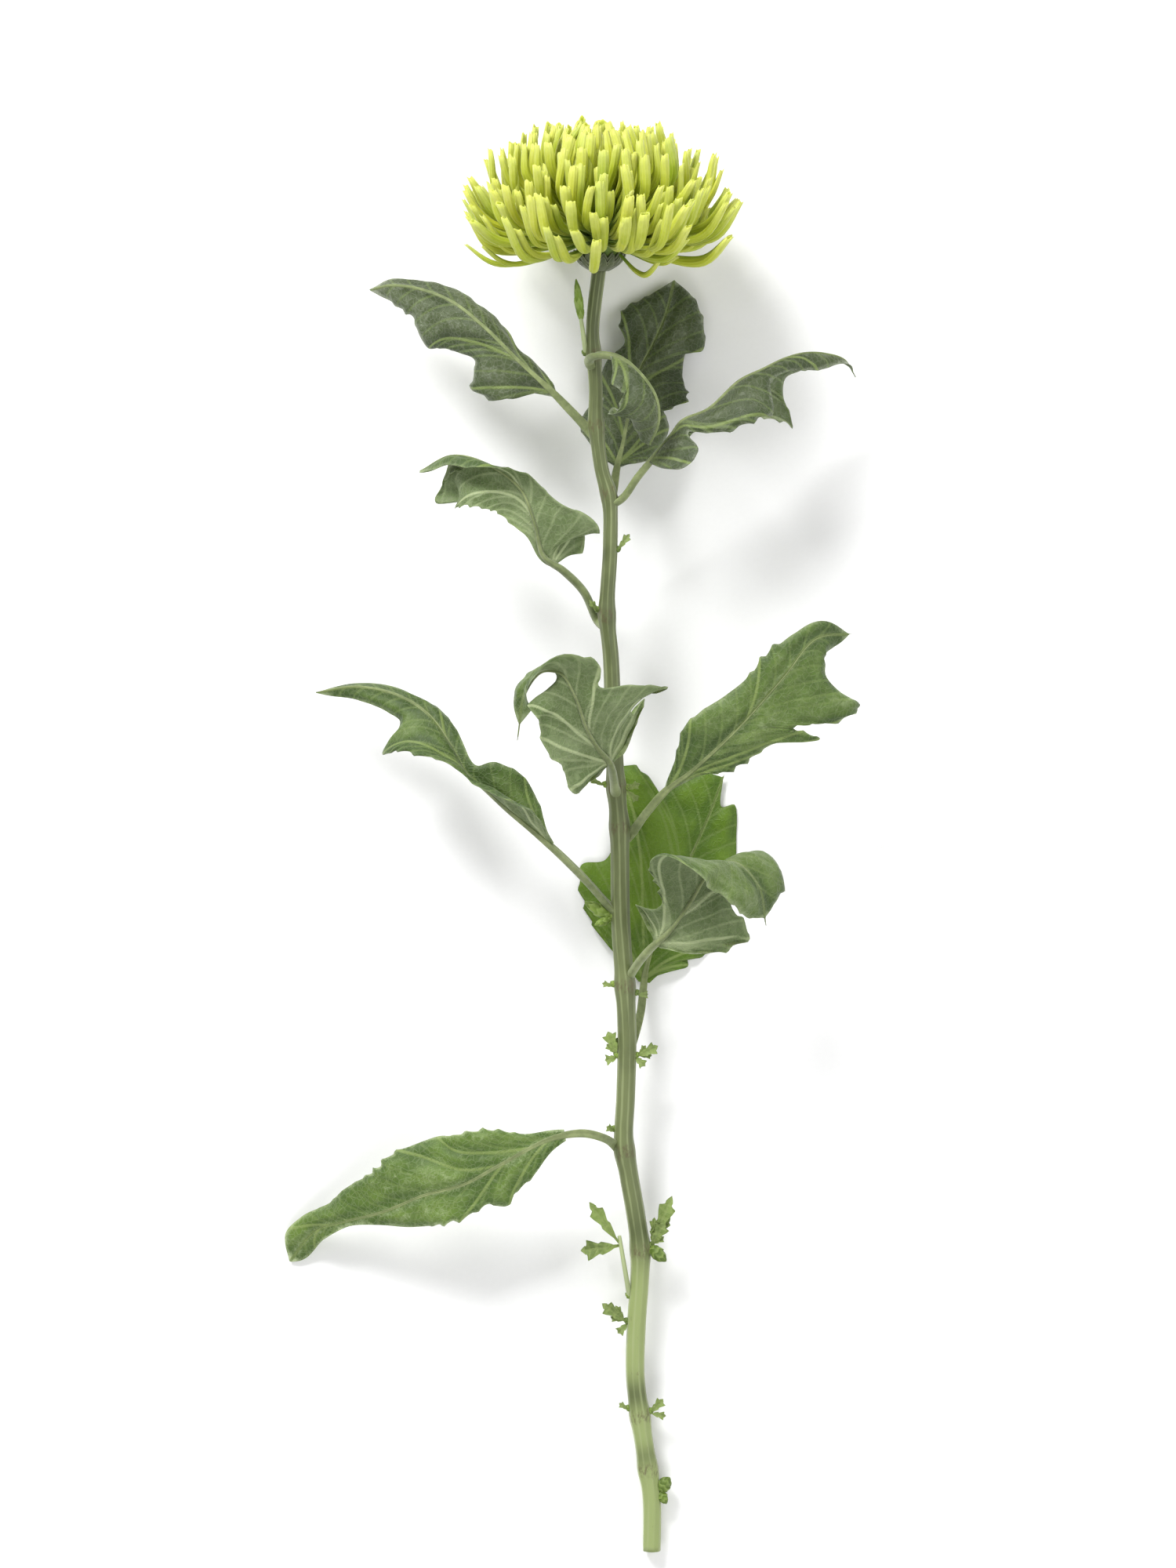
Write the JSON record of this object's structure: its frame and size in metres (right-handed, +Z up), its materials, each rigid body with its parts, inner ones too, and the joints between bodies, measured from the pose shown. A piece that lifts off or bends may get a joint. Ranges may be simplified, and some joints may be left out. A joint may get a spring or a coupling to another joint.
{
  "type": "cut chrysanthemum",
  "caption": "Cut chrysanthemum lying on its back: a ridged zigzag stem with lobed leaves, small axillary shoots and a domed green bloom of quilled florets.",
  "frame": {"origin": "on the resting surface, under the middle of the bounding box", "axes": "+Y along the stem from its cut end to the bloom, +Z up from the resting surface, +X to the right seen from above with the bloom at the top"},
  "size_m": [0.2016, 0.499, 0.0943],
  "materials": {
    "stem": "matte",
    "leaf": "matte",
    "shoot": "matte",
    "receptacle": "matte",
    "involucre": "matte",
    "floret": "matte"
  },
  "bodies": {
    "root": {"stem": "stem", "leaf_01": "leaf", "leaf_02": "leaf", "leaf_03": "leaf", "leaf_04": "leaf", "leaf_05": "leaf", "leaf_06": "leaf", "leaf_07": "leaf", "leaf_08": "leaf", "leaf_09": "leaf", "leaf_10": "leaf", "leaf_11": "leaf", "shoot_01": "shoot", "shoot_02": "shoot", "shoot_03": "shoot", "shoot_04": "shoot", "shoot_05": "shoot", "shoot_06": "shoot", "shoot_07": "shoot", "shoot_08": "shoot", "shoot_09": "shoot", "shoot_10": "shoot", "shoot_11": "shoot", "shoot_12": "shoot", "shoot_13": "shoot", "shoot_14": "shoot", "shoot_15": "shoot", "shoot_16": "shoot", "shoot_17": "shoot", "receptacle": "receptacle", "involucre": "involucre", "floret_whorl_01": "floret", "floret_whorl_02": "floret", "floret_whorl_03": "floret", "floret_whorl_04": "floret", "floret_whorl_05": "floret", "floret_whorl_06": "floret", "floret_whorl_07": "floret", "floret_whorl_08": "floret", "floret_whorl_09": "floret", "floret_whorl_10": "floret", "stray_floret_01": "floret", "stray_floret_02": "floret", "stray_floret_03": "floret", "stray_floret_04": "floret"}
  },
  "joints": []
}
